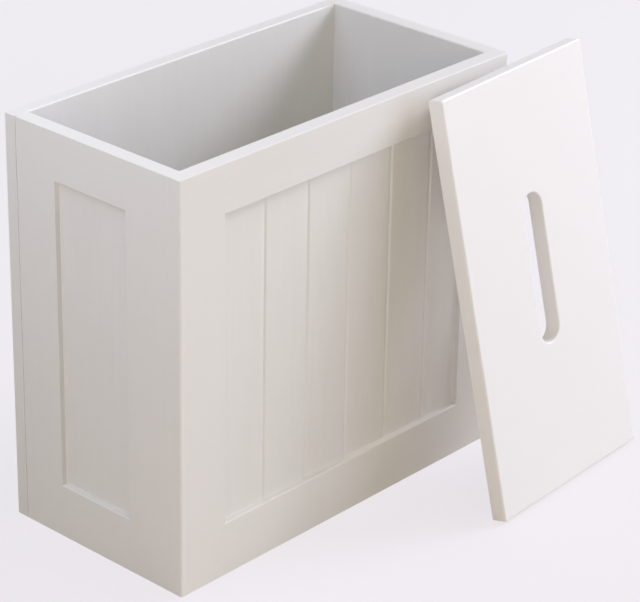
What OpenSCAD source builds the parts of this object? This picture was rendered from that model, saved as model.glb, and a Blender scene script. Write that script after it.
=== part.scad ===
// Lidded storage box of painted wood: framed front and sides, a grooved front panel,
// and a loose lid with a hand slot that leans on the front.
// The origin is the centre of the base's underside. +X is right, +Y is to the back, +Z is up.

/* [Box] */
// Width of the box over its side frames
box_w = 320; // [280:1:400]
// Depth of the box from front face to back face
box_d = 162; // [140:1:200]
// Height of the box to its rim
box_h = 300; // [240:1:360]

/* [Board thicknesses] */
// Thickness of the front frame
front_t = 12; // [10:0.5:15]
// Thickness of the side frames
side_t = 12; // [10:0.5:15]
// Thickness of the plain back
back_t = 10; // [8:0.5:15]
// Thickness of the base
base_t = 9; // [8:0.5:15]

/* [Frames] */
// Width of each upright of the front frame
front_stile_w = 41; // [34:0.5:56]
// Width of each upright of a side frame
side_stile_w = 37; // [32:0.5:44]
// Height of every top rail
top_rail_h = 35; // [30:0.5:50]
// Height of every bottom rail
bottom_rail_h = 40; // [30:0.5:56]
// Depth from a frame's face to the panel inside it
recess = 4.5; // [3:0.25:4.5]

/* [Tongues] */
// Thickness of the tongues on panels and rails
tongue_t = 3; // [2.5:0.1:3.2]
// Length of the tongues
tongue_l = 6; // [4:0.5:8]
// Gap beside and beyond a tongue in its groove
tongue_gap = 0.1; // [0.05:0.05:0.25]
// Solid wood left where an upright's groove stops short of its ends
groove_stop = 9; // [6:0.5:14]

/* [Front panel] */
// Width of a full board between two vee grooves. The boards start at the left upright.
vee_pitch = 41; // [30:0.5:46]
// Least width of the last board, which is cut to fit at the right upright
last_board_min = 16; // [12:0.5:20]
// Width of a vee groove at the panel's face
vee_w = 3; // [1.5:0.1:3.6]

/* [Dowels] */
// Diameter of the corner dowels
corner_dowel_d = 6; // [5:0.5:6]
// Length of the corner dowels
corner_dowel_l = 20; // [18:1:26]
// Depth that a corner dowel goes into the front frame
corner_dowel_in = 7; // [5:0.5:8]
// Height of the lowest corner dowel, and of the highest below the rim
corner_dowel_end = 40; // [25:1:60]
// Diameter of the base dowels
base_dowel_d = 5; // [4:0.5:5]
// Length of the base dowels
base_dowel_l = 18; // [16:1:24]
// Depth that a base dowel goes into a wall
base_dowel_in = 6; // [4:0.5:6]
// Distance from a dowel at the front or back of the base to the next
base_dowel_pitch = 100; // [60:1:115]
// Distance between the two dowels at each end of the base
base_end_pitch = 40; // [24:1:80]
// Gap round a dowel in its hole
dowel_gap = 0.05; // [0.02:0.01:0.1]
// Space left past each end of a dowel
dowel_end_gap = 0.5; // [0.2:0.1:1]

/* [Screws] */
// Diameter of the back screws' shanks
back_screw_d = 3.5; // [3:0.1:4]
// Diameter of the back screws' heads
back_screw_head_d = 7; // [6:0.1:8]
// Length of the back screws
back_screw_l = 30; // [25:1:32]
// Diameter of the batten screws' shanks
batten_screw_d = 3; // [2.5:0.1:3.5]
// Diameter of the batten screws' heads
batten_screw_head_d = 6; // [5:0.1:6.6]
// Length of the batten screws
batten_screw_l = 16; // [13:0.5:17]
// Gap round a screw in its hole
screw_gap = 0.05; // [0.02:0.01:0.1]
// Height of the straight rim of a screw's head
screw_rim_h = 0.4; // [0.2:0.1:0.6]
// Radius of a screw's blunted tip
screw_tip_r = 0.2; // [0.1:0.05:0.4]
// Length of each arm of the cross cut in a screw's head
driver_slot_l = 3.6; // [3:0.1:4.2]
// Width of the cross cut
driver_slot_w = 0.9; // [0.6:0.1:1.2]
// Depth of the cross cut
driver_slot_depth = 1.4; // [1:0.1:1.6]

/* [Lid] */
// Distance from the box's end to the lid's end, with the lid on
lid_end_reveal = 8; // [4:0.5:9]
// Distance from the box's front or back to the lid's edge, with the lid on
lid_edge_reveal = 0; // [0:0.5:4]
// Thickness of the lid
lid_t = 12; // [10:0.5:18]
// Width of the hand slot
slot_w = 22; // [20:0.5:30]
// Length of the hand slot
slot_l = 110; // [90:1:130]
// Distance from the middle of the lid to the middle of the hand slot
slot_shift = 8; // [0:0.5:20]
// Thickness of the battens under the lid
batten_t = 8; // [6:0.5:10]
// Width of the battens
batten_w = 20; // [16:0.5:28]
// Gap between the battens and the walls that they fit between
batten_gap = 1; // [0.5:0.25:2]
// Distance from a batten's end to its screw
batten_screw_end = 22; // [15:1:40]

/* [Leaning lid] */
// Angle of the leaning lid from upright
lean_tilt = 13.2; // [8:0.1:20]
// Angle that the leaning lid is turned from the box's front
lean_turn = 3.5; // [0:0.1:6]
// Distance from the box's right face in to the middle of the leaning lid's foot
lean_in = 16; // [10:1:60]
// Gap between the leaning lid and the box
lean_gap = 0.3; // [0.2:0.1:1]

/* [Eased edges] */
// Width of the small bevel on the box's outer edges and rim
box_arris = 0.8; // [0.4:0.1:1.5]
// Width of the small bevel on the lid's edges
lid_arris = 1; // [0.4:0.1:1.5]

/* [Hidden] */
$fn = 48;

// Cutting tools run past the faces that they cut by this much
over = 1;

// Places of the box's faces
front_y = -box_d / 2;
back_y = box_d / 2;
inner_front_y = front_y + front_t;
inner_back_y = back_y - back_t;
inner_x = box_w / 2 - side_t;
side_l = inner_back_y - inner_front_y;

// The openings of the frames, and the front panel's grooves
front_rail_l = box_w - 2 * front_stile_w;
side_rail_l = side_l - 2 * side_stile_w;
opening_h = box_h - top_rail_h - bottom_rail_h;
vee_count = floor((front_rail_l - last_board_min) / vee_pitch);

// Centre lines of the side frames, where the corner dowels and back screws go
side_mid_x = box_w / 2 - side_t / 2;
fixing_z = [corner_dowel_end, box_h / 2, box_h - corner_dowel_end];

// The lid, measured with the lid standing on its end
lid_l = box_w - 2 * lid_end_reveal;
lid_w = box_d - 2 * lid_edge_reveal;
batten_l = side_l - 2 * batten_gap;
batten_inset = lid_l / 2 - (inner_x - batten_gap);
batten_x = (inner_front_y + inner_back_y) / 2;
upper_batten_z = lid_l - batten_inset - batten_w;
lower_batten_z = batten_inset;
batten_screw_x = [-batten_x - batten_l / 2 + batten_screw_end, -batten_x + batten_l / 2 - batten_screw_end];

// How far back, and how high, an edge of the upper batten lies when the lid leans,
// from its distance along the lid
function batten_reach(along) = along * sin(lean_tilt) + batten_t * cos(lean_tilt);
function batten_height(along) = along * cos(lean_tilt) - batten_t * sin(lean_tilt);

// The lid leans on the box's front right edge with the upper batten's upper edge. On a box
// lower than that edge it leans on the rim, with the batten's back or with its own underside.
batten_top = upper_batten_z + batten_w;
lean_reach = batten_height(batten_top) <= box_h ? batten_reach(batten_top)
    : batten_height(upper_batten_z) <= box_h ? box_h * tan(lean_tilt) + batten_t / cos(lean_tilt)
    : box_h * tan(lean_tilt);

// The place of the leaning lid's foot: lean_gap clear of the box, with its eased edge on the floor
lean_x = box_w / 2 - lean_in;
lean_y = front_y - lean_gap - lean_in * tan(lean_turn) - lean_reach / cos(lean_turn);
lean_z = -lid_arris * sin(lean_tilt);

// A square bar that cuts a bevel of width a along an edge, centred on the origin along its axis
module bevel_bar(a, length, axis) {
    turn = axis == "x" ? [45, 0, 0] : axis == "y" ? [0, 45, 0] : [0, 0, 45];
    side = a * sqrt(2);
    size = axis == "x" ? [length, side, side] : axis == "y" ? [side, length, side] : [side, side, length];
    rotate(turn) cube(size, center = true);
}

// Frame boards are drawn lying in the XZ plane, with their face at y = 0 and their back at y = t.

// Distance from a frame's face to the near side of its grooves
function tongue_y(t) = recess + (t - recess - tongue_t) / 2;

// Space for tongues that enter an edge: from x = 0 to x = -depth, between two heights
module groove_space(t, z0, z1) {
    depth = tongue_l + tongue_gap;
    translate([-depth, tongue_y(t) - tongue_gap, z0])
        cube([depth + over, tongue_t + 2 * tongue_gap, z1 - z0]);
}

// An upright with its groove along the edge at x = w
module stile(w, t) {
    difference() {
        cube([w, t, box_h]);
        translate([w, 0, 0]) groove_space(t, groove_stop, box_h - groove_stop);
    }
}

// A rail between two uprights, with its groove along the edge at z = h.
// Its end tongues start below that groove and stop short of the outer edge.
module rail(length, t, h) {
    tenon_h = h - groove_stop - tongue_l - 3 * tongue_gap;
    difference() {
        union() {
            cube([length, t, h]);
            translate([-tongue_l, tongue_y(t), groove_stop + tongue_gap])
                cube([length + 2 * tongue_l, tongue_t, tenon_h]);
        }
        translate([-over, 0, h])
            rotate([0, -90, 0]) mirror([0, 0, 1]) groove_space(t, 0, length + 2 * over);
    }
}

// A panel that fills the opening of a frame, flush with the frame's back, with a tongue all round
module panel(w, t) {
    translate([0, recess, bottom_rail_h]) cube([w, t - recess, opening_h]);
    translate([-tongue_l, tongue_y(t), bottom_rail_h - tongue_l])
        cube([w + 2 * tongue_l, tongue_t, opening_h + 2 * tongue_l]);
}

// Bevels of the rim: the top edges at the face and at the back of a frame board
module rim_bevels(length, t) {
    for (y = [0, t]) {
        translate([length / 2, y, box_h]) bevel_bar(box_arris, length + 2 * over, "x");
    }
}

// A board of the front frame, moved to its place in the box
module place_front(x) {
    translate([x, front_y, 0]) children();
}

// A board of a side frame: its face turns to the left or to the right, and x runs to the back
module place_side(side, from_front) {
    mirror([side == "left" ? 0 : 1, 0, 0])
        translate([-box_w / 2, inner_front_y + from_front, 0])
            rotate([0, 0, 90]) mirror([0, 1, 0]) children();
}

// A blind hole or a dowel along Y, between two depths
module rod_y(d, y0, y1) {
    translate([0, y0, 0]) rotate([-90, 0, 0]) cylinder(d = d, h = y1 - y0);
}

// A blind hole or a dowel along X, between two places
module rod_x(d, x0, x1) {
    translate([x0, 0, 0]) rotate([0, 90, 0]) cylinder(d = d, h = x1 - x0);
}

// The corner dowels, or with a gap the holes that they go in
module corner_dowel_set(gap, end_gap) {
    for (side = [-1, 1]) {
        for (z = fixing_z) {
            translate([side * side_mid_x, inner_front_y, z])
                rod_y(corner_dowel_d + 2 * gap, -corner_dowel_in - end_gap,
                      corner_dowel_l - corner_dowel_in + end_gap);
        }
    }
}

// The dowels at the front and back of the base, or with a gap their holes
module base_dowel_set(gap, end_gap) {
    inside = base_dowel_l - base_dowel_in;
    for (i = [-1, 0, 1]) {
        translate([i * base_dowel_pitch, 0, base_t / 2]) {
            translate([0, inner_front_y, 0])
                rod_y(base_dowel_d + 2 * gap, -base_dowel_in - end_gap, inside + end_gap);
            translate([0, inner_back_y, 0])
                rod_y(base_dowel_d + 2 * gap, -inside - end_gap, base_dowel_in + end_gap);
        }
    }
    for (i = [-1, 1]) {
        translate([0, i * base_end_pitch / 2, base_t / 2]) {
            translate([-inner_x, 0, 0])
                rod_x(base_dowel_d + 2 * gap, -base_dowel_in - end_gap, inside + end_gap);
            translate([inner_x, 0, 0])
                rod_x(base_dowel_d + 2 * gap, -inside - end_gap, base_dowel_in + end_gap);
        }
    }
}

module dowel_holes() {
    corner_dowel_set(dowel_gap, dowel_end_gap);
    base_dowel_set(dowel_gap, dowel_end_gap);
}

// A countersunk screw along +Z with its flat head at z = 0, or with a gap its hole
module screw_body(d, head_d, length, gap) {
    cone_h = (head_d - d) / 2;
    point_l = d;
    rotate_extrude()
        polygon([
            [0, -gap],
            [head_d / 2 + gap, -gap],
            [head_d / 2 + gap, screw_rim_h],
            [d / 2 + gap, screw_rim_h + cone_h],
            [d / 2 + gap, length - point_l],
            [screw_tip_r + gap, length + gap],
            [0, length + gap]
        ]);
}

// The screw itself, with a cross cut for the driver
module screw(d, head_d, length) {
    difference() {
        screw_body(d, head_d, length, 0);
        for (turn = [0, 90]) {
            rotate([0, 0, turn])
                translate([-driver_slot_l / 2, -driver_slot_w / 2, -over])
                    cube([driver_slot_l, driver_slot_w, driver_slot_depth + over]);
        }
    }
}

// Moves a screw to each of its places in the box's back, pointing forwards
module back_screw_places() {
    for (side = [-1, 1]) {
        for (z = fixing_z) {
            translate([side * side_mid_x, back_y, z]) rotate([90, 0, 0]) children();
        }
    }
}

module back_screw_holes() {
    back_screw_places() screw_body(back_screw_d, back_screw_head_d, back_screw_l, screw_gap);
}

// Front frame

module front_stile_board() {
    difference() {
        stile(front_stile_w, front_t);
        rim_bevels(front_stile_w, front_t);
        translate([0, 0, box_h / 2]) bevel_bar(box_arris, box_h + 2 * over, "z");
        translate([0, front_t / 2, box_h]) bevel_bar(box_arris, front_t + 2 * over, "y");
    }
}

module front_left_stile() {
    color("white") difference() {
        place_front(-box_w / 2) front_stile_board();
        dowel_holes();
    }
}

module front_right_stile() {
    color("white") difference() {
        mirror([1, 0, 0]) place_front(-box_w / 2) front_stile_board();
        dowel_holes();
    }
}

module front_top_rail() {
    color("white") difference() {
        place_front(-front_rail_l / 2)
            translate([0, 0, box_h]) mirror([0, 0, 1]) rail(front_rail_l, front_t, top_rail_h);
        place_front(-front_rail_l / 2) rim_bevels(front_rail_l, front_t);
    }
}

module front_bottom_rail() {
    color("white") difference() {
        place_front(-front_rail_l / 2) rail(front_rail_l, front_t, bottom_rail_h);
        dowel_holes();
    }
}

module front_panel() {
    color("whitesmoke") difference() {
        place_front(-front_rail_l / 2) panel(front_rail_l, front_t);
        for (i = [1 : vee_count]) {
            translate([i * vee_pitch - front_rail_l / 2, front_y + recess, bottom_rail_h + opening_h / 2])
                bevel_bar(vee_w / 2, opening_h, "z");
        }
    }
}

// Side frames

module side_stile_board() {
    difference() {
        stile(side_stile_w, side_t);
        rim_bevels(side_stile_w, side_t);
    }
}

module side_front_stile(side) {
    color("white") difference() {
        place_side(side, 0) side_stile_board();
        dowel_holes();
    }
}

module side_back_stile(side) {
    color("white") difference() {
        place_side(side, side_l) mirror([1, 0, 0]) side_stile_board();
        dowel_holes();
        back_screw_holes();
    }
}

module side_top_rail(side) {
    color("white") difference() {
        place_side(side, side_stile_w)
            translate([0, 0, box_h]) mirror([0, 0, 1]) rail(side_rail_l, side_t, top_rail_h);
        place_side(side, side_stile_w) rim_bevels(side_rail_l, side_t);
    }
}

module side_bottom_rail(side) {
    color("white") difference() {
        place_side(side, side_stile_w) rail(side_rail_l, side_t, bottom_rail_h);
        dowel_holes();
    }
}

module side_panel(side) {
    color("whitesmoke") place_side(side, side_stile_w) panel(side_rail_l, side_t);
}

module left_front_stile() {
    side_front_stile("left");
}

module left_back_stile() {
    side_back_stile("left");
}

module left_top_rail() {
    side_top_rail("left");
}

module left_bottom_rail() {
    side_bottom_rail("left");
}

module left_panel() {
    side_panel("left");
}

module right_front_stile() {
    side_front_stile("right");
}

module right_back_stile() {
    side_back_stile("right");
}

module right_top_rail() {
    side_top_rail("right");
}

module right_bottom_rail() {
    side_bottom_rail("right");
}

module right_panel() {
    side_panel("right");
}

// Back and base

module back_panel() {
    color("white") difference() {
        translate([-box_w / 2, inner_back_y, 0]) cube([box_w, back_t, box_h]);
        for (y = [inner_back_y, back_y]) {
            translate([0, y, box_h]) bevel_bar(box_arris, box_w + 2 * over, "x");
        }
        for (side = [-1, 1]) {
            translate([side * box_w / 2, back_y, box_h / 2])
                bevel_bar(box_arris, box_h + 2 * over, "z");
            translate([side * box_w / 2, back_y - back_t / 2, box_h])
                bevel_bar(box_arris, back_t + 2 * over, "y");
        }
        back_screw_holes();
        dowel_holes();
    }
}

module base_panel() {
    color("gainsboro") difference() {
        translate([-inner_x, inner_front_y, 0]) cube([2 * inner_x, side_l, base_t]);
        dowel_holes();
    }
}

// Dowels and screws

module corner_dowels() {
    color("burlywood") corner_dowel_set(0, 0);
}

module base_dowels() {
    color("burlywood") base_dowel_set(0, 0);
}

module back_screws() {
    color("silver") back_screw_places() screw(back_screw_d, back_screw_head_d, back_screw_l);
}

// Lid: drawn standing on its end, with its top face at y = -lid_t and its underside at y = 0

module place_lid() {
    translate([lean_x, lean_y, lean_z]) rotate([0, 0, lean_turn]) rotate([-lean_tilt, 0, 0]) children();
}

// Moves a screw to each of its places in the battens, pointing into the lid
module batten_screw_places() {
    for (x = batten_screw_x) {
        for (z = [lower_batten_z, upper_batten_z]) {
            translate([x, batten_t, z + batten_w / 2]) rotate([90, 0, 0]) children();
        }
    }
}

module batten_screw_holes() {
    batten_screw_places() screw_body(batten_screw_d, batten_screw_head_d, batten_screw_l, screw_gap);
}

// The hand slot, with round ends, right through the lid
module hand_slot() {
    straight = slot_l - slot_w;
    translate([0, 0, lid_l / 2 + slot_shift]) {
        translate([-slot_w / 2, -lid_t - over, -straight / 2])
            cube([slot_w, lid_t + 2 * over, straight]);
        for (z = [-straight / 2, straight / 2]) {
            translate([0, 0, z]) rod_y(slot_w, -lid_t - over, over);
        }
    }
}

module lid_edge_bevels() {
    for (y = [-lid_t, 0]) {
        for (z = [0, lid_l]) {
            translate([0, y, z]) bevel_bar(lid_arris, lid_w + 2 * over, "x");
        }
        for (x = [-lid_w / 2, lid_w / 2]) {
            translate([x, y, lid_l / 2]) bevel_bar(lid_arris, lid_l + 2 * over, "z");
        }
    }
    for (x = [-lid_w / 2, lid_w / 2]) {
        for (z = [0, lid_l]) {
            translate([x, -lid_t / 2, z]) bevel_bar(lid_arris, lid_t + 2 * over, "y");
        }
    }
}

module lid_board() {
    color("white") place_lid() difference() {
        translate([-lid_w / 2, -lid_t, 0]) cube([lid_w, lid_t, lid_l]);
        hand_slot();
        lid_edge_bevels();
        batten_screw_holes();
    }
}

module batten(z) {
    color("whitesmoke") place_lid() difference() {
        translate([-batten_x - batten_l / 2, 0, z]) cube([batten_l, batten_t, batten_w]);
        batten_screw_holes();
    }
}

module lid_upper_batten() {
    batten(upper_batten_z);
}

module lid_lower_batten() {
    batten(lower_batten_z);
}

module batten_screws() {
    color("silver") place_lid() batten_screw_places()
        screw(batten_screw_d, batten_screw_head_d, batten_screw_l);
}

front_left_stile();
front_right_stile();
front_top_rail();
front_bottom_rail();
front_panel();
left_front_stile();
left_back_stile();
left_top_rail();
left_bottom_rail();
left_panel();
right_front_stile();
right_back_stile();
right_top_rail();
right_bottom_rail();
right_panel();
back_panel();
base_panel();
corner_dowels();
base_dowels();
back_screws();
lid_board();
lid_upper_batten();
lid_lower_batten();
batten_screws();
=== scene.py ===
"""White painted storage box with a framed body and a loose lid: the finish of every board.

Lengths are metres in the frame's own axes: +X to the right, +Y to the back, +Z up.
Each board is a closed surface worked out on a grid, with its edges eased as paint leaves them.
"""
import itertools
import math

import bpy
import numpy as np
from mathutils import Matrix, Vector


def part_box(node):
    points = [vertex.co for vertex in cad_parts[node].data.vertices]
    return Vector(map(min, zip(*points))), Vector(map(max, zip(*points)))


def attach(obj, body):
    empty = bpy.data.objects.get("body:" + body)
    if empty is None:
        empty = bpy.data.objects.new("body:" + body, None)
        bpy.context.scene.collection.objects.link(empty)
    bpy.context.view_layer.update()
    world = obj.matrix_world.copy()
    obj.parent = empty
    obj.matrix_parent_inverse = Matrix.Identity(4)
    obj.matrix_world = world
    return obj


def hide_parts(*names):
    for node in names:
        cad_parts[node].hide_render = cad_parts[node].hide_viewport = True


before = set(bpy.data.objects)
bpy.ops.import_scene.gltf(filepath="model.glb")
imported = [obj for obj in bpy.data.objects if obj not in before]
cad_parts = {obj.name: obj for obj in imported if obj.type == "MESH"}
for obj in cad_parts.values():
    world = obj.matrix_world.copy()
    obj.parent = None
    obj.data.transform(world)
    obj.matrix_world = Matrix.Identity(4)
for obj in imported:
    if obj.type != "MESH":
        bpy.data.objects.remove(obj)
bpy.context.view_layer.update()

cos, sin = math.cos, math.sin
MM = 0.001
X, Y, Z = 0, 1, 2
FACES = {
    "left": (X, 0), "right": (X, 1),
    "front": (Y, 0), "back": (Y, 1),
    "bottom": (Z, 0), "top": (Z, 1),
}

# Camera, found from the edges of the box and the lid
PHOTO_WIDTH = 640
FOCAL_PIXELS = 2763.0
SENSOR_MM = 36.0
VIEW_AZIMUTH = math.radians(-47.72)
VIEW_ELEVATION = math.radians(25.68)
VIEW_ROLL = math.radians(1.06)
VIEW_DISTANCE = 1.976
VIEW_TARGET = np.array([0.0600, 0.0, 0.1156])

# The leaning lid: its angle from upright, and its turn from the front of the box
LEAN_TILT = math.radians(13.2)
LEAN_TURN = math.radians(3.5)

# Radii of painted edges
JOINT_EDGE = 0.05 * MM
CORNER_JOINT_EDGE = 0.2 * MM
BACK_JOINT_EDGE = 0.3 * MM
FOOT_EDGE = 0.4 * MM
RECESS_EDGE = 0.5 * MM
LEDGE_EDGE = 0.9 * MM
RIM_EDGE = 1.0 * MM
RIM_OUTER_EDGE = 0.5 * MM
OUTER_EDGE = 1.3 * MM
LID_EDGE = 1.4 * MM
SLOT_EDGE = 1.0 * MM
BATTEN_EDGE = 0.9 * MM
PAINT_FILLET = 0.5 * MM

# Lines of a board's grid: even ones, and those that round the edges, of which a fine edge has fewer
LINE_SPACING = 30 * MM
EDGE_STEPS = 4
FINE_EDGE = 0.3 * MM
FINE_EDGE_STEPS = 2

# Lines for the paint in an inside corner, with one past its fillet, in its radius
FILLET_STEPS = 4
PAST_FILLET = 2.2

# The line past an edge, in radii, the nearest even line, as a multiple of that, and the lines past the
# place where a radius ends
PAST_EDGE = 1.4
EVEN_ROOM = 1.2
REACH_ROOM = 0.2 * MM

# Reach of a radius that holds along the whole edge, and how near a point counts as being in reach
WHOLE_EDGE = (-1.0, 1.0)
REACH_SLACK = 1e-7

# Vee grooves of the front panel: full boards laid from the left upright. The roll of a lip ends at a
# distance from its groove.
VEE_PITCH = 41 * MM
VEE_COUNT = 5
VEE_HALF = 1.5 * MM
VEE_BOTTOM = 0.4 * MM
VEE_SLOPE = 0.78
VEE_LEFT_LIP = 1.0 * MM
VEE_RIGHT_LIP = 0.3 * MM
VEE_ROLL_END = 6 * MM
VEE_LINES = VEE_HALF * np.array([0, 0.1, 0.25, 0.5, 0.75, 0.9, 1.0, 1.1, 1.25, 1.5, 1.8, 2.3, 3.0, 4.0])

# Gap that shows between each side and the back
GAP_WIDTH = 0.9 * MM
GAP_DEPTH = 1.2 * MM
GAP_LIP = 0.15 * MM
GAP_LINES = np.array([-1.5, 0, 0.5, 1, 2]) * GAP_LIP - GAP_WIDTH

# Hand slot, with its middle above the middle of the leaning lid. Its rings end at a distance from it.
SLOT_HALF = 11 * MM
SLOT_STRAIGHT = 44 * MM
SLOT_SHIFT = 8 * MM
SLOT_RINGS = 9 * MM
SLOT_STEPS = 8
SLOT_LINES = np.array([1.4 * SLOT_EDGE, 2 * SLOT_EDGE, 3.5 * MM, 5 * MM, 7 * MM, SLOT_RINGS])

# Screws, with radii of heads and shanks
BACK_HEAD = 3.5 * MM
BACK_SHANK = 1.75 * MM
BATTEN_HEAD = 3.0 * MM
BATTEN_SHANK = 1.5 * MM
HEAD_RIM = 0.4 * MM
HEAD_CHAMFER = 0.1 * MM
HEAD_GAP = 0.1 * MM
HEAD_SUNK = 0.12 * MM
PLAIN_NECK = 1.2 * MM

# Thread and point, in radii of the shank, with a ridge as a part of the pitch
THREAD_PITCH = 0.9
THREAD_CORE = 0.72
THREAD_STOP = 0.3
POINT_TAPER = 2
POINT_TIP = 0.15
RIDGE_HALF = 0.25
LINES_PER_PITCH = 6

# The head's face, in its radius: square rings in the middle, which become round over a width
HEAD_SQUARE = 0.5
HEAD_ROUNDING = 0.35
HEAD_STEPS = 5

# Cross for the driver: half the width of an arm, its reach, and the slopes of its sides and ends
CROSS_HALF = 0.6 * MM
CROSS_REACH = 1.8 * MM
CROSS_SIDE = 0.35 * MM
CROSS_END = 0.5 * MM
CROSS_DEPTH = 1.2 * MM
CROSS_LINES = np.array([CROSS_HALF - CROSS_SIDE, 0.45 * MM, CROSS_HALF, CROSS_REACH - CROSS_END, CROSS_REACH])

# Sinks round the screws: the wall inside the radius, the lip outside it, and where round rings turn square
SINK_DEPTH = 1.0 * MM
SINK_WALL = 0.1 * MM
SINK_LIP = 0.15 * MM
SINK_LIP_DROP = 0.1 * MM
SINK_ROUND = 0.2 * MM
SINK_SQUARE = 1.6 * MM
SINK_STEPS = 4
SINK_LINES = np.array([-SINK_WALL, SINK_LIP, 0.6 * MM, SINK_SQUARE])

# Patterns, per metre. Those of the brush are drawn out along the board.
CLOUDS = 11.0
BRUSH_HAIRS = 700.0
BRUSH_STROKES = 250.0
BRUSH_STRETCH = 0.05
STIPPLE = 1300.0
BEECH_RINGS = 160.0
BEECH_FLECKS = 1400.0
DULL_PATCHES = 500.0
TURNING_MARKS = 4000.0
BOARD_SHIFT = np.array([1.7, 0.9, 0.4])

# Studio
BACKGROUND = (0.888, 0.863, 0.905, 1.0)
FLOOR_PALE = (0.90, 0.875, 0.915, 1.0)
FLOOR_BOUNCE = (0.62, 0.56, 0.48, 1.0)
FLOOR_PLAIN = 0.8
FLOOR_FADE = (0.5, 2.0)
FLOOR_REACH = 12.0
AMBIENT = (1.0, 1.0, 1.0, 1.0)
AMBIENT_STRENGTH = 0.16
LAMPS = {
    # azimuth from the front in degrees, height in degrees, distance, size, watts, tint
    "key_light": (70, 35, 2.2, 1.0, 36.3, (0.86, 0.86, 1.0)),
    "broad_light": (35, 12, 2.2, 1.5, 15.4, (0.80, 0.86, 1.0)),
    "near_light": (-100, 45, 0.7, 0.5, 1.46, (0.78, 0.84, 1.0)),
    "low_light": (-55, 10, 1.6, 1.0, 6.0, (1.0, 0.86, 0.74)),
    "front_light": (-10, 60, 1.6, 1.0, 3.1, (1.0, 0.80, 0.24)),
    "back_light": (170, 12, 1.8, 1.2, 9.5, (1.0, 1.0, 1.0)),
}
LAMP_AIM = (0.03, -0.02, 0.15)


# Shader sums


class Value:
    """A socket in a graph. Sums on it add Math nodes."""

    def __init__(self, graph, socket):
        self.graph = graph
        self.socket = socket

    def math(self, operation, *others):
        return self.graph.node("ShaderNodeMath", {"operation": operation}, self, *others).out()

    def __add__(self, other):
        return self.math("ADD", other)

    __radd__ = __add__

    def __mul__(self, other):
        return self.math("MULTIPLY", other)

    __rmul__ = __mul__

    def __sub__(self, other):
        return self.math("SUBTRACT", other)

    def __rsub__(self, other):
        return self * -1.0 + other

    def step(self, low, high):
        """0 below low, 1 above high, and a smooth rise between them."""
        return self.graph.node(
            "ShaderNodeMapRange", {"interpolation_type": "SMOOTHSTEP"}, self, low, high, 0.0, 1.0
        ).out()


class Made:
    """A node just made, with its outputs as values."""

    def __init__(self, graph, node):
        self.graph = graph
        self.node = node

    def out(self, name=0):
        return Value(self.graph, self.node.outputs[name])


class Graph:
    """The nodes of one material or of the world."""

    def __init__(self, tree):
        self.tree = tree
        tree.nodes.clear()

    def node(self, kind, settings=None, *values, **named):
        """Adds a node: its settings first, then the values or links of its sockets, in order or by name."""
        node = self.tree.nodes.new(kind)
        for key, setting in (settings or {}).items():
            setattr(node, key, setting)
        sockets = list(enumerate(values)) + [(key.replace("_", " "), value) for key, value in named.items()]
        for key, value in sockets:
            if isinstance(value, Value):
                self.tree.links.new(value.socket, node.inputs[key])
            elif value is not None:
                node.inputs[key].default_value = value
        return Made(self, node)

    def blend(self, factor, first, second):
        """A colour that goes from first to second as factor goes from 0 to 1."""
        unused = (None,) * 5
        return self.node("ShaderNodeMix", {"data_type": "RGBA"}, factor, *unused, first, second).out(2)

    def attribute(self, name, output):
        """A measure or a place that the mesh has at its points."""
        return self.node("ShaderNodeAttribute", {"attribute_name": name}).out(output)

    def noise(self, place, scale, detail=2.0, roughness=0.5):
        """Soft random patches between 0 and 1, so many to the metre."""
        return self.node(
            "ShaderNodeTexNoise", None, Vector=place, Scale=scale, Detail=detail, Roughness=roughness
        ).out("Fac")

    def bump(self, strength, depth, height):
        """The surface's direction, tilted by a height that stands for a depth in metres."""
        return self.node("ShaderNodeBump", None, Strength=strength, Distance=depth, Height=height).out("Normal")

    def seen(self):
        """1 for what the camera sees, straight, mirrored or through glass."""
        path = self.node("ShaderNodeLightPath")
        straight = path.out("Is Camera Ray").math("MAXIMUM", path.out("Is Glossy Ray"))
        return straight.math("MAXIMUM", path.out("Is Transmission Ray"))

    def surface(self, **sockets):
        """Ends the graph in one shader with these sockets."""
        shader = self.node("ShaderNodeBsdfPrincipled", None, **sockets).out()
        self.node("ShaderNodeOutputMaterial", None, Surface=shader)


def finish(name):
    """A new material with an empty graph."""
    material = bpy.data.materials.new(name)
    material.use_nodes = True
    return material, Graph(material.node_tree)


def rgb(red, green, blue):
    return (red, green, blue, 1.0)


def white_paint(name, light, dark, edge_highlight, painted_recess_shade, roughness, marks):
    """Satin paint, brushed along the board. The grain attribute has the board's length in its x. The
    eased attribute is 1 in the middle of a rounded edge, where a painted highlight lightens the paint.
    The attribute for recess walls is 1 on the walls of a recess, where painted shade darkens the paint.
    Marks is the strength of the long marks of the brush."""
    material, graph = finish(name)
    grain = graph.attribute("grain", "Vector")
    eased = graph.attribute("eased", "Fac")
    painted_shade_share = graph.attribute("painted_recess_shade", "Fac")
    along = graph.node("ShaderNodeMapping", None, Vector=grain, Scale=(BRUSH_STRETCH, 1.0, 1.0)).out()
    cloud = graph.noise(grain, CLOUDS, 3.0)
    brushed = graph.noise(along, BRUSH_HAIRS, 3.0, 0.6)
    strokes = graph.noise(along, BRUSH_STROKES)
    stipple = graph.noise(grain, STIPPLE)
    tone = cloud.step(0.35, 0.7) * 0.5 + brushed * 0.2 + strokes.step(0.3, 0.7) * marks
    # Eased edges are lightened as a painted highlight
    body = graph.blend(eased * 0.75, graph.blend(tone, light, dark), edge_highlight)
    graph.surface(
        # Painted shade darkens the walls of a recess
        Base_Color=graph.blend(painted_shade_share * 0.9, body, painted_recess_shade),
        Roughness=cloud * 0.1 + stipple * 0.08 + (roughness - 0.09),
        Normal=graph.bump(0.35, 0.05 * MM, brushed * 0.5 + stipple * 0.5 + strokes * marks),
        IOR=1.47,
    )
    return material


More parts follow.
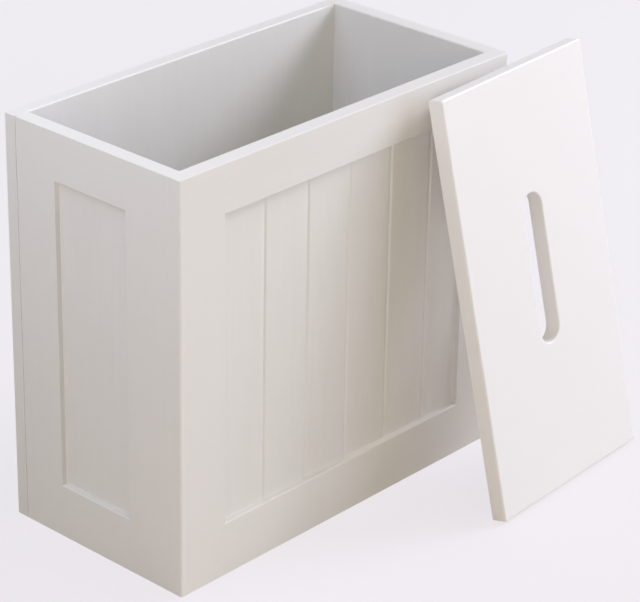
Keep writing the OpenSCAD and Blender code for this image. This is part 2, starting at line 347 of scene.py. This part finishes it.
def dowel_wood(name):
    """Pale beech with short darker flecks."""
    material, graph = finish(name)
    place = graph.node("ShaderNodeTexCoord").out("Object")
    flecks = graph.noise(place, BEECH_FLECKS, 3.0, 0.7)
    rings = graph.noise(place, BEECH_RINGS)
    body = graph.blend(rings, rgb(0.66, 0.47, 0.29), rgb(0.78, 0.61, 0.42))
    graph.surface(
        Base_Color=graph.blend(flecks.step(0.5, 0.75) * 0.5, body, rgb(0.45, 0.29, 0.16)),
        Roughness=flecks * 0.2 + 0.5,
        Normal=graph.bump(0.4, 0.08 * MM, flecks),
    )
    return material


def zinc_plate(name):
    """Bright zinc, dulled here and there, with fine turning marks."""
    material, graph = finish(name)
    place = graph.node("ShaderNodeTexCoord").out("Object")
    dull = graph.noise(place, DULL_PATCHES, 3.0)
    turning = graph.noise(place, TURNING_MARKS, 1.0)
    graph.surface(
        Base_Color=graph.blend(dull, rgb(0.66, 0.67, 0.68), rgb(0.47, 0.48, 0.48)),
        Roughness=dull * 0.25 + 0.25,
        Normal=graph.bump(0.3, 0.03 * MM, turning),
        Metallic=1.0,
    )
    return material


# Closed surfaces on a grid


def piece(name, points, quads, grain, eased, material, painted_recess_shade=None):
    """An object of quads. Each point has a place along the grain and measures of how far it is eased,
    which sets its painted edge highlight, and of how much painted shade it has as the wall of a recess."""
    mesh = bpy.data.meshes.new(name)
    mesh.vertices.add(len(points))
    mesh.vertices.foreach_set("co", points.astype(np.float32).ravel())
    mesh.loops.add(quads.size)
    mesh.loops.foreach_set("vertex_index", quads.astype(np.int32).ravel())
    mesh.polygons.add(len(quads))
    mesh.polygons.foreach_set("loop_start", np.arange(0, quads.size, 4, dtype=np.int32))
    mesh.update(calc_edges=True)
    mesh.polygons.foreach_set("use_smooth", np.ones(len(quads), dtype=bool))
    mesh.attributes.new("grain", "FLOAT_VECTOR", "POINT").data.foreach_set(
        "vector", grain.astype(np.float32).ravel()
    )
    measures = {"eased": eased, "painted_recess_shade": np.zeros(len(points)) if painted_recess_shade is None else painted_recess_shade}
    for attribute, values in measures.items():
        mesh.attributes.new(attribute, "FLOAT", "POINT").data.foreach_set("value", values.astype(np.float32))
    mesh.materials.append(material)
    made = bpy.data.objects.new(name, mesh)
    bpy.context.scene.collection.objects.link(made)
    return made


def stand_in(made, node, body):
    """The piece stands for its CAD node, which is hidden, and moves with its body."""
    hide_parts(node)
    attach(made, body)


def equal_angles(steps):
    """Places on the side of a unit square that lie at equal angles, from its middle to its corner."""
    return np.tan(np.linspace(0, math.pi / 4, steps + 1))


def both_sides(middles, steps):
    """Places at each step to the right and to the left of each middle."""
    return np.concatenate([middle + side for middle in middles for side in (steps, -steps)])


def grid_lines(low, high, radii, extra):
    """Places of the grid's lines along one axis: those that round both ends, extra ones, and even ones."""
    ends = [[0.0]]
    for radius in sorted(set(radii)):
        steps = EDGE_STEPS if radius > FINE_EDGE else FINE_EDGE_STEPS
        ends += [radius * (1 - equal_angles(steps)), [PAST_EDGE * radius]]
    ends = np.concatenate(ends)
    even = np.linspace(low, high, max(2, round((high - low) / LINE_SPACING) + 1))
    clear = EVEN_ROOM * ends.max()
    even = even[(even > low + clear) & (even < high - clear)]
    places = np.concatenate([low + ends, high - ends, even, extra])
    places = places[(places > low - 1e-9) & (places < high + 1e-9)]
    return np.unique(np.round(places, 8))


def closed_grid(lines, hole=None):
    """Points, quads and grid index of a block's six faces, which share their rims. A hole, given as
    its ranges of lines in x and z, goes through from front to back and has four walls of its own."""
    counts = [len(places) for places in lines]
    stride = [counts[1] * counts[2], counts[2], 1]

    def wall(axis, at, high_side, ranges=None):
        """Cells of the plane across an axis at one line, wound to face along it or against it."""
        b, c = (axis + 1) % 3, (axis + 2) % 3
        ranges = ranges or {}
        b0, b1 = ranges.get(b, (0, counts[b] - 1))
        c0, c1 = ranges.get(c, (0, counts[c] - 1))
        first = np.arange(b0, b1)[:, None] * stride[b] + np.arange(c0, c1)[None, :] * stride[c]
        if hole is not None and axis == Y:
            cut = np.zeros((counts[b], counts[c]), bool)
            cut[hole[b][0]:hole[b][1], hole[c][0]:hole[c][1]] = True
            first = first[~cut[b0:b1, c0:c1]]
        ring = np.array([0, stride[b], stride[b] + stride[c], stride[c]])
        return first.reshape(-1, 1) + (ring if high_side else ring[::-1]) + at * stride[axis]

    keys = [wall(axis, end * (counts[axis] - 1), end) for axis in range(3) for end in (0, 1)]
    if hole is not None:
        keys += [wall(X, hole[X][0], 1, {Z: hole[Z]}), wall(X, hole[X][1], 0, {Z: hole[Z]})]
        keys += [wall(Z, hole[Z][0], 1, {X: hole[X]}), wall(Z, hole[Z][1], 0, {X: hole[X]})]
    used, quads = np.unique(np.concatenate(keys), return_inverse=True)
    index = np.stack([used // stride[0], used // stride[1] % counts[1], used % counts[2]], 1)
    points = np.stack([lines[axis][index[:, axis]] for axis in range(3)], 1)
    return points, quads.reshape(-1, 4), index


def on_face(index, axis, end):
    """Which points lie on the face across an axis, at its low or its high end."""
    return index[:, axis] == (index[:, axis].max() if end else 0)


def ease(first, second, radius):
    """Rounds a square corner at (0, 0), with both distances measured inwards from it. A point at
    square distance m from the arc's centre goes to round distance m from it. Returns both distances,
    and a measure that is 1 in the middle of the arc and 0 at its ends."""
    out = np.stack([radius - first, radius - second])
    near = (out > 0).all(0)
    square = out.max(0)
    scale = np.where(near, square / np.maximum(np.hypot(out[0], out[1]), 1e-12), 1.0)
    angle = np.arctan2(out[0], out[1]) / (math.pi / 4)
    eased = np.where(near, 1 - np.abs(angle - 1), 0.0)
    return radius - out[0] * scale, radius - out[1] * scale, eased


def edge_table(edges):
    """Radius and reach of each of the twelve edges, by the axis that it runs along and the ends of the
    other two. An edge that isn't named is a joint. The reach is where along the edge the radius holds."""
    ends = itertools.product(range(3), (0, 1), (0, 1))
    table = {key: (JOINT_EDGE, *WHOLE_EDGE) for key in ends}
    for (face, other), radius in edges.items():
        (a, end_a), (b, end_b) = sorted((FACES[face], FACES[other]))
        table[3 - a - b, end_a, end_b] = radius if isinstance(radius, tuple) else (radius, *WHOLE_EDGE)
    return table


def even_edges(radius, plain=None):
    """The same radius on every edge, but for those of a face that is left plain."""
    pairs = itertools.combinations(FACES, 2)
    return {
        (face, other): radius for face, other in pairs
        if FACES[face][0] != FACES[other][0] and plain not in (face, other)
    }


def ease_block(points, low, high, table):
    """Eases a block's twelve edges in turn; returns each point's share of painted edge highlight."""
    edge_highlight_share = np.zeros(len(points))
    for (axis, end_b, end_c), (radius, start, stop) in table.items():
        b, c = [k for k in range(3) if k != axis]
        held = (points[:, axis] > start - REACH_SLACK) & (points[:, axis] < stop + REACH_SLACK)
        size = np.where(held, radius, min(radius, JOINT_EDGE))
        from_b = high[b] - points[:, b] if end_b else points[:, b] - low[b]
        from_c = high[c] - points[:, c] if end_c else points[:, c] - low[c]
        from_b, from_c, eased = ease(from_b, from_c, size)
        points[:, b] = high[b] - from_b if end_b else low[b] + from_b
        points[:, c] = high[c] - from_c if end_c else low[c] + from_c
        # Share of the painted highlight that an eased edge gets
        edge_highlight_share = np.maximum(edge_highlight_share, eased * np.minimum(1.0, size / RIM_EDGE))
    return edge_highlight_share


def round_rings(across, inner, outer):
    """Turns square rings about (0, 0) into round ones within inner, and leaves them square past outer."""
    square = np.abs(across).max(1)
    share = np.clip((outer - square) / (outer - inner), 0, 1)
    share = share * share * (3 - 2 * share)
    radius = np.maximum(np.hypot(across[:, 0], across[:, 1]), 1e-12)
    return across * (1 + share * (square / radius - 1))[:, None], square


def along_grain(points, run, number):
    """Pattern coordinates: the board's length first, moved apart from one board to the next."""
    order = [run] + [k for k in range(3) if k != run]
    return points[:, order] + BOARD_SHIFT * number


board_numbers = itertools.count(1)


def board(name, low, high, run, material, edges, extra=None, relief=None, axes=None, hole=None, wall=None):
    """A painted board between two corners, with its length along the run axis. Relief moves points once
    the edges are eased, and returns how far it eases them. Axes turn the board from its own axes to the
    frame's. A hole is given by its ranges in x and z. Wall names a face that is the wall of a recess
    between two heights, where the paint is darkened as painted shade."""
    low, high = np.array(low, float), np.array(high, float)
    table = edge_table(edges)
    extra = extra or {}
    lines = []
    for axis in range(3):
        near = {radius for (other, _, _), (radius, _, _) in table.items() if other != axis} | {JOINT_EDGE}
        reaches = [
            place for (other, _, _), (_, start, stop) in table.items() if other == axis
            for place in (start - REACH_ROOM, start, stop, stop + REACH_ROOM)
        ]
        lines.append(grid_lines(low[axis], high[axis], near, np.concatenate([reaches, extra.get(axis, [])])))
    if hole:
        hole = {axis: [int(np.abs(lines[axis] - place).argmin()) for place in hole[axis]] for axis in hole}
    points, quads, index = closed_grid(lines, hole)
    # Painted shade on the wall of a recess, between two heights
    painted_recess_shade = np.zeros(len(points))
    if wall:
        face, start, stop = wall
        painted_recess_shade[on_face(index, *FACES[face]) & (points[:, Z] > start) & (points[:, Z] < stop)] = 1.0
    # Eased edges get a painted highlight
    edge_highlight_share = ease_block(points, low, high, table)
    grain = along_grain(points, run, next(board_numbers))
    if relief:
        edge_highlight_share = np.maximum(edge_highlight_share, relief(points, index))
    if axes is not None:
        points = points @ axes.T
    return piece(name, points, quads, grain, edge_highlight_share, material, painted_recess_shade)


# Paints

# Each paint's edge colour is a painted highlight for eased edges, and its recess colour is painted shade for
# recess walls
frame_paint = white_paint(
    "frame_paint", light=rgb(0.865, 0.860, 0.850), dark=rgb(0.845, 0.839, 0.828),
    edge_highlight=rgb(0.93, 0.928, 0.922), painted_recess_shade=rgb(0.69, 0.70, 0.71), roughness=0.42, marks=0.3,
)
panel_paint = white_paint(
    "panel_paint", light=rgb(0.860, 0.855, 0.844), dark=rgb(0.840, 0.834, 0.822),
    edge_highlight=rgb(0.92, 0.917, 0.91), painted_recess_shade=rgb(0.69, 0.70, 0.71), roughness=0.46, marks=0.6,
)
lid_paint = white_paint(
    "lid_paint", light=rgb(0.895, 0.888, 0.886), dark=rgb(0.882, 0.875, 0.872),
    edge_highlight=rgb(0.94, 0.937, 0.935), painted_recess_shade=rgb(0.80, 0.80, 0.79), roughness=0.40, marks=0.1,
)
dowel_beech = dowel_wood("dowel_beech")
screw_zinc = zinc_plate("screw_zinc")


# Framed walls


def fillet_lines(low, high):
    """Grid lines for the paint that gathers along an inside corner."""
    steps = PAINT_FILLET * (1 - np.cos(np.linspace(0, math.pi / 2, FILLET_STEPS + 1)))
    steps = np.append(steps, PAST_FILLET * PAINT_FILLET)
    return np.concatenate([low + steps, high - steps])


def gathered(distance):
    """Height of the gathered paint at a distance from the corner: the hollow side of a quarter circle."""
    inside = np.clip(PAINT_FILLET - distance, 0, PAINT_FILLET)
    return PAINT_FILLET - np.sqrt(PAINT_FILLET**2 - inside**2)


def panel_relief(axis, end, low, high, grooves):
    """Relief of a panel's outer face. Paint gathers against the frame all round. The depth of each vee
    groove is its slope times its half width less the distance from its middle. It has a soft bottom, a
    sharp right lip and a left lip that rolls over gently."""
    run = X if axis == Y else Y

    def relief(points, index):
        face = on_face(index, axis, end)
        x, z = points[face, run], points[face, Z]
        depth = np.zeros(len(x))
        for middle in grooves:
            vee = VEE_HALF - np.hypot(x - middle, VEE_BOTTOM)
            lip = np.interp(x - middle, [-VEE_HALF, 0], [VEE_LEFT_LIP, VEE_RIGHT_LIP])
            rolled = (vee + np.hypot(vee, lip)) / 2 - lip * lip / (4 * VEE_ROLL_END)
            depth = np.maximum(depth, VEE_SLOPE * rolled)
        rim = np.minimum.reduce([x - low[run], high[run] - x, z - low[Z], high[Z] - z])
        raised = gathered(rim) - depth
        points[face, axis] += raised if end else -raised
        return 0.0

    return relief


def gap_relief(axis, end, low, high):
    """Relief of the upright next to the back: its last strip is pressed in from the outer face, in
    proportion to the distance from the inner face."""
    inner = low[axis] if end else high[axis]
    share = GAP_DEPTH / (high[axis] - low[axis])

    def relief(points, index):
        strip = np.clip((points[:, Y] - high[Y] + GAP_WIDTH) / GAP_LIP, 0, 1)
        points[:, axis] += strip * share * (inner - points[:, axis])
        return 0.0

    return relief


def framed_wall(side, outer, inner, near, far, near_edges, far_edges, grooves=()):
    """Two uprights, two rails and a panel. Near and far are the wall's two ends, and their edges come
    with the uprights that stand there."""
    axis, end = FACES[outer]
    run = X if axis == Y else Y
    near_stile, far_stile = f"{side}_{near}_stile", f"{side}_{far}_stile"
    left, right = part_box(near_stile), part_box(far_stile)
    top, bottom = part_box(f"{side}_top_rail"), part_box(f"{side}_bottom_rail")
    opening = (bottom[1][Z], top[0][Z])
    rim = {(outer, "top"): RIM_OUTER_EDGE, (inner, "top"): RIM_EDGE}
    foot = {(outer, "bottom"): FOOT_EDGE}
    recess = (RECESS_EDGE, *opening)

    def between(box, low_z, high_z):
        """The box's thickness, from upright to upright, between two heights."""
        low, high = np.array(box[0]), np.array(box[1])
        low[run], high[run] = left[1][run], right[0][run]
        low[Z], high[Z] = low_z, high_z
        return low, high

    upper, lower = between(top, opening[1], top[1][Z]), between(bottom, 0, opening[0])
    # The last item of each upright names its face that is a recess wall, which gets painted shade
    parts = [
        (near_stile, left, Z, {**rim, **foot, (outer, far): recess, **near_edges}, (far, *opening)),
        (far_stile, right, Z, {**rim, **foot, (outer, near): recess, **far_edges}, (near, *opening)),
        (f"{side}_top_rail", upper, run, {**rim, (outer, "bottom"): RECESS_EDGE}, None),
        (f"{side}_bottom_rail", lower, run, {**foot, (outer, "top"): LEDGE_EDGE}, None),
    ]
    for node, (low, high), length, edges, wall in parts:
        gap = {}
        if node == far_stile and far == "back":
            gap = {"extra": {Y: high[Y] + GAP_LINES}, "relief": gap_relief(axis, end, low, high)}
        made = board(node + "_board", low, high, length, frame_paint, edges, wall=wall, **gap)
        stand_in(made, node, "box")

    low, high = between(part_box(f"{side}_panel"), *opening)
    groove_lines = both_sides(grooves, VEE_LINES) if grooves else []
    made = board(
        f"{side}_panel_board", low, high, Z, panel_paint,
        {(outer, face): 0.0 for face in (near, far, "top", "bottom")},
        extra={
            run: np.concatenate([fillet_lines(low[run], high[run]), groove_lines]),
            Z: fillet_lines(low[Z], high[Z]),
        },
        relief=panel_relief(axis, end, low, high, grooves),
    )
    stand_in(made, f"{side}_panel", "box")


front_left_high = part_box("front_left_stile")[1]
inner_left, inner_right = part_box("base_panel")[0][X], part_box("base_panel")[1][X]
corner = {"front": OUTER_EDGE, "top": RIM_OUTER_EDGE, "back": CORNER_JOINT_EDGE, "bottom": FOOT_EDGE}
framed_wall(
    "front", "front", "back", "left", "right",
    {("back", "top"): (RIM_EDGE, inner_left, 1.0), **{("left", face): corner[face] for face in corner}},
    {("back", "top"): (RIM_EDGE, -1.0, inner_right), **{("right", face): corner[face] for face in corner}},
    grooves=[front_left_high[X] + (i + 1) * VEE_PITCH for i in range(VEE_COUNT)],
)
for side, other in (("left", "right"), ("right", "left")):
    framed_wall(side, side, other, "front", "back", {(side, "front"): CORNER_JOINT_EDGE}, {})


# Back and base


def sink_lines(middles, radius):
    """Grid lines for round sinks: they give each ring points at nearly equal angles."""
    return both_sides(middles, np.concatenate([radius * equal_angles(SINK_STEPS), radius + SINK_LINES]))


def sink_relief(centres, radius):
    """Sinks in a board's back face, one round each screw head. Square rings of the grid become round,
    and the face drops inside the radius."""
    places = radius + np.array([-SINK_WALL, 0, SINK_LIP])

    def relief(points, index):
        face = on_face(index, *FACES["back"])
        for centre in centres:
            across, square = round_rings(
                points[face][:, [X, Z]] - centre, radius + SINK_ROUND, radius + SINK_SQUARE
            )
            points[np.ix_(face, [X, Z])] = centre + across
            points[face, Y] -= np.interp(square, places, [SINK_DEPTH, SINK_LIP_DROP, 0])
        return 0.0

    return relief


back_screw_low, back_screw_high = (np.array(end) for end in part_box("back_screws"))
back_screw_x = [back_screw_low[X] + BACK_HEAD, back_screw_high[X] - BACK_HEAD]
back_screw_z = np.linspace(back_screw_low[Z] + BACK_HEAD, back_screw_high[Z] - BACK_HEAD, 3)
back_screw_places = [np.array([x, z]) for x in back_screw_x for z in back_screw_z]
back_low, back_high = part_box("back_panel")
made = board(
    "back_panel_board", back_low, back_high, Z, panel_paint,
    {
        ("front", "top"): (RIM_EDGE, inner_left, inner_right), ("back", "top"): RIM_OUTER_EDGE,
        ("left", "top"): RIM_OUTER_EDGE, ("right", "top"): RIM_OUTER_EDGE,
        ("left", "back"): OUTER_EDGE, ("right", "back"): OUTER_EDGE,
        ("left", "front"): BACK_JOINT_EDGE, ("right", "front"): BACK_JOINT_EDGE,
        ("back", "bottom"): FOOT_EDGE, ("left", "bottom"): FOOT_EDGE, ("right", "bottom"): FOOT_EDGE,
    },
    extra={X: sink_lines(back_screw_x, BACK_HEAD + HEAD_GAP), Z: sink_lines(back_screw_z, BACK_HEAD + HEAD_GAP)},
    relief=sink_relief(back_screw_places, BACK_HEAD + HEAD_GAP),
)
stand_in(made, "back_panel", "box")

made = board("base_panel_board", *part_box("base_panel"), X, panel_paint, {})
stand_in(made, "base_panel", "box")


# Lid

lid_turn = np.array([[cos(LEAN_TURN), -sin(LEAN_TURN), 0], [sin(LEAN_TURN), cos(LEAN_TURN), 0], [0, 0, 1]])
lid_tilt = np.array([[1, 0, 0], [0, cos(LEAN_TILT), sin(LEAN_TILT)], [0, -sin(LEAN_TILT), cos(LEAN_TILT)]])
lid_axes = lid_turn @ lid_tilt


def lid_extent(node):
    """Lowest and highest corner of a CAD node along the lid's own axes."""
    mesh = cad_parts[node].data
    points = np.empty(len(mesh.vertices) * 3, np.float32)
    mesh.vertices.foreach_get("co", points)
    points = points.reshape(-1, 3) @ lid_axes
    return points.min(0), points.max(0)


def slot_relief(middle, low, high):
    """A slot with round ends. Past the straight part, square rings become round ones. The slot's two
    rims are eased by its distance from the wall and from the face."""

    def relief(points, index):
        x = points[:, X] - middle[0]
        z = points[:, Z] - middle[1]
        past = np.clip(np.abs(z) - SLOT_STRAIGHT, 0, None)
        square = np.maximum(np.abs(x), past)
        from_wall, from_front, front_eased = ease(square - SLOT_HALF, points[:, Y] - low[Y], SLOT_EDGE)
        from_wall, from_back, back_eased = ease(from_wall, high[Y] - low[Y] - from_front, SLOT_EDGE)
        scale = np.where(square > 0, (SLOT_HALF + from_wall) / np.maximum(square, 1e-9), 1.0)
        across = np.stack([x, past], 1) * scale[:, None]
        across, _ = round_rings(across, SLOT_HALF + 2 * SLOT_EDGE, SLOT_HALF + SLOT_RINGS)
        points[:, X] = middle[0] + across[:, 0]
        points[:, Y] = high[Y] - from_back
        points[:, Z] = middle[1] + np.sign(z) * (np.minimum(np.abs(z), SLOT_STRAIGHT) + across[:, 1])
        return np.maximum(front_eased, back_eased)

    return relief


lid_low, lid_high = lid_extent("lid_board")
slot_middle = np.array([(lid_low[X] + lid_high[X]) / 2, (lid_low[Z] + lid_high[Z]) / 2 + SLOT_SHIFT])
edge_rings = SLOT_EDGE * (1 - equal_angles(EDGE_STEPS))
rings = np.concatenate([SLOT_HALF * equal_angles(SLOT_STEPS), SLOT_HALF + edge_rings, SLOT_HALF + SLOT_LINES])
made = board(
    "lid_board_painted", lid_low, lid_high, Z, lid_paint, even_edges(LID_EDGE),
    extra={
        X: np.concatenate([slot_middle[0] - rings, slot_middle[0] + rings]),
        Y: np.concatenate([lid_low[Y] + edge_rings, lid_high[Y] - edge_rings]),
        Z: np.concatenate([slot_middle[1] - SLOT_STRAIGHT - rings, slot_middle[1] + SLOT_STRAIGHT + rings]),
    },
    relief=slot_relief(slot_middle, lid_low, lid_high),
    axes=lid_axes,
    hole={
        X: slot_middle[0] + np.array([-SLOT_HALF, SLOT_HALF]),
        Z: slot_middle[1] + np.array([-1, 1]) * (SLOT_STRAIGHT + SLOT_HALF),
    },
)
stand_in(made, "lid_board", "lid")

batten_screw_low, batten_screw_high = lid_extent("batten_screws")
batten_screw_x = [batten_screw_low[X] + BATTEN_HEAD, batten_screw_high[X] - BATTEN_HEAD]
batten_screw_places = []
for node in ("lid_upper_batten", "lid_lower_batten"):
    low, high = lid_extent(node)
    middle_z = (low[Z] + high[Z]) / 2
    places = [np.array([x, middle_z]) for x in batten_screw_x]
    batten_screw_places += places
    made = board(
        node + "_board", low, high, X, lid_paint, even_edges(BATTEN_EDGE, plain="front"),
        extra={
            X: sink_lines(batten_screw_x, BATTEN_HEAD + HEAD_GAP),
            Z: sink_lines([middle_z], BATTEN_HEAD + HEAD_GAP),
        },
        relief=sink_relief(places, BATTEN_HEAD + HEAD_GAP),
        axes=lid_axes,
    )
    stand_in(made, node, "lid")


# Screws


def cross_arm(across, along):
    """1 in one arm of the cross, 0 outside it, and straight slopes on its sides and ends."""
    side = np.clip((CROSS_HALF - np.abs(across)) / CROSS_SIDE, 0, 1)
    end = np.clip((CROSS_REACH - np.abs(along)) / CROSS_END, 0, 1)
    return np.minimum(side, end)


def screw_shape(head, shank, length):
    """One countersunk screw, its head's face at 0 and its point at length along z. It starts as a square
    block whose rings become round. Its radius follows the head, the cone and a thread whose ridge goes
    once round for each pitch. The head's face drops in a cross for the driver."""
    pitch = THREAD_PITCH * shank
    core = THREAD_CORE * shank
    taper = POINT_TAPER * shank
    cone_end = HEAD_RIM + head - shank
    thread_start, thread_end = cone_end + PLAIN_NECK, length - THREAD_STOP * shank
    across = np.concatenate([head * equal_angles(HEAD_STEPS), CROSS_LINES])
    across = np.unique(np.round(np.concatenate([-across, across]), 8))
    turns = np.arange(thread_start, thread_end, pitch / LINES_PER_PITCH)
    down = np.unique(np.concatenate([[0, HEAD_CHAMFER, HEAD_RIM, cone_end], turns, [length]]))
    points, quads, index = closed_grid([across, across, down])
    face = index[:, Z] == 0
    x, y, z = points.T.copy()

    stations = [0, HEAD_CHAMFER, HEAD_RIM, cone_end, length - taper, length]
    radius = np.interp(z, stations, [head - HEAD_CHAMFER, head, head, core, core, POINT_TIP * shank])
    turned = (z / pitch - np.arctan2(y, x) / (2 * math.pi)) % 1
    ridge = np.clip(1 - np.abs(turned - 0.5) / RIDGE_HALF, 0, 1) * (shank - core)
    fade = np.clip((z - thread_start) / pitch, 0, 1) * np.clip((length - z) / taper, 0, 1)
    radius = radius + ridge * fade

    square = np.maximum(np.abs(x), np.abs(y))
    share = np.where(face, np.clip((square - HEAD_SQUARE * head) / (HEAD_ROUNDING * head), 0, 1), 1.0)
    scale = (1 + share * (square / np.maximum(np.hypot(x, y), 1e-12) - 1)) * radius / head
    drop = np.where(face, CROSS_DEPTH * np.maximum(cross_arm(x, y), cross_arm(y, x)), 0)
    return np.stack([x * scale, y * scale, z + drop], 1), quads


def screws(name, node, body, places, face_y, head, shank, length, axes):
    """Every screw of one node in one piece. Places are in x and z along the given axes, and the screws
    point against their y axis."""
    shape, quads = screw_shape(head, shank, length)
    all_points = [
        np.stack([x + shape[:, 0], face_y - HEAD_SUNK - shape[:, 2], z + shape[:, 1]], 1) for x, z in places
    ]
    all_quads = [quads + len(shape) * number for number in range(len(places))]
    points = np.concatenate(all_points) @ axes.T
    made = piece(name, points, np.concatenate(all_quads), points, np.zeros(len(points)), screw_zinc)
    stand_in(made, node, body)


screws(
    "back_screws_zinc", "back_screws", "box", back_screw_places, back_screw_high[Y],
    BACK_HEAD, BACK_SHANK, back_screw_high[Y] - back_screw_low[Y] - HEAD_SUNK, np.eye(3),
)
screws(
    "batten_screws_zinc", "batten_screws", "lid", batten_screw_places, batten_screw_high[Y],
    BATTEN_HEAD, BATTEN_SHANK, batten_screw_high[Y] - batten_screw_low[Y] - HEAD_SUNK, lid_axes,
)

for node in ("corner_dowels", "base_dowels"):
    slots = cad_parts[node].data.materials
    slots.clear()
    slots.append(dowel_beech)


# Floor and background

scene = bpy.context.scene
scene.view_settings.view_transform = "Standard"

corners = np.array([[-1, -1, 0], [1, -1, 0], [1, 1, 0], [-1, 1, 0]]) * FLOOR_REACH
floor_finish, graph = finish("floor_finish")
seen = graph.seen()
place = graph.node("ShaderNodeTexCoord").out("Object")
away = graph.node("ShaderNodeVectorMath", {"operation": "LENGTH"}, place).out("Value")
plain = (away.step(*FLOOR_FADE) * (1 - FLOOR_PLAIN) + FLOOR_PLAIN) * seen
shade = graph.node("ShaderNodeBsdfDiffuse", None, graph.blend(seen, FLOOR_BOUNCE, FLOOR_PALE)).out()
glow = graph.node("ShaderNodeEmission", None, BACKGROUND, 1.0).out()
graph.node("ShaderNodeOutputMaterial", None, graph.node("ShaderNodeMixShader", None, plain, shade, glow).out())
floor = piece("floor", corners, np.array([[0, 1, 2, 3]]), corners, np.zeros(4), floor_finish)

studio = bpy.data.worlds.new("studio")
scene.world = studio
studio.use_nodes = True
graph = Graph(studio.node_tree)
ambient = graph.node("ShaderNodeBackground", None, AMBIENT, AMBIENT_STRENGTH).out()
backdrop = graph.node("ShaderNodeBackground", None, BACKGROUND, 1.0).out()
both = graph.node("ShaderNodeMixShader", None, graph.seen(), ambient, backdrop).out()
graph.node("ShaderNodeOutputWorld", None, both)


def lamp(name, azimuth, height, distance, size, power, tint):
    """A square soft light that isn't seen itself, turned towards the middle of the scene."""
    light = bpy.data.lights.new(name, "AREA")
    light.shape = "SQUARE"
    light.size = size
    light.energy = power
    light.color = tint
    made = bpy.data.objects.new(name, light)
    scene.collection.objects.link(made)
    azimuth, height = math.radians(azimuth), math.radians(height)
    away = Vector((sin(azimuth) * cos(height), -cos(azimuth) * cos(height), sin(height)))
    made.location = Vector(LAMP_AIM) + away * distance
    made.rotation_mode = "QUATERNION"
    made.rotation_quaternion = (-away).to_track_quat("-Z", "Y")
    made.visible_camera = False


for name, setting in LAMPS.items():
    lamp(name, *setting)


# Camera

back = np.array([
    sin(VIEW_AZIMUTH) * cos(VIEW_ELEVATION), -cos(VIEW_AZIMUTH) * cos(VIEW_ELEVATION), sin(VIEW_ELEVATION)
])
level = np.cross([0, 0, 1], back)
level /= np.linalg.norm(level)
rise = np.cross(back, level)
right = cos(VIEW_ROLL) * level + sin(VIEW_ROLL) * rise
up = -sin(VIEW_ROLL) * level + cos(VIEW_ROLL) * rise
lens = bpy.data.cameras.new("camera")
lens.sensor_width = SENSOR_MM
lens.lens = FOCAL_PIXELS / PHOTO_WIDTH * SENSOR_MM
camera = bpy.data.objects.new("camera", lens)
scene.collection.objects.link(camera)
place = VIEW_TARGET + back * VIEW_DISTANCE
camera.matrix_world = Matrix([
    (right[i], up[i], back[i], place[i]) for i in range(3)
] + [(0, 0, 0, 1)])
scene.camera = camera
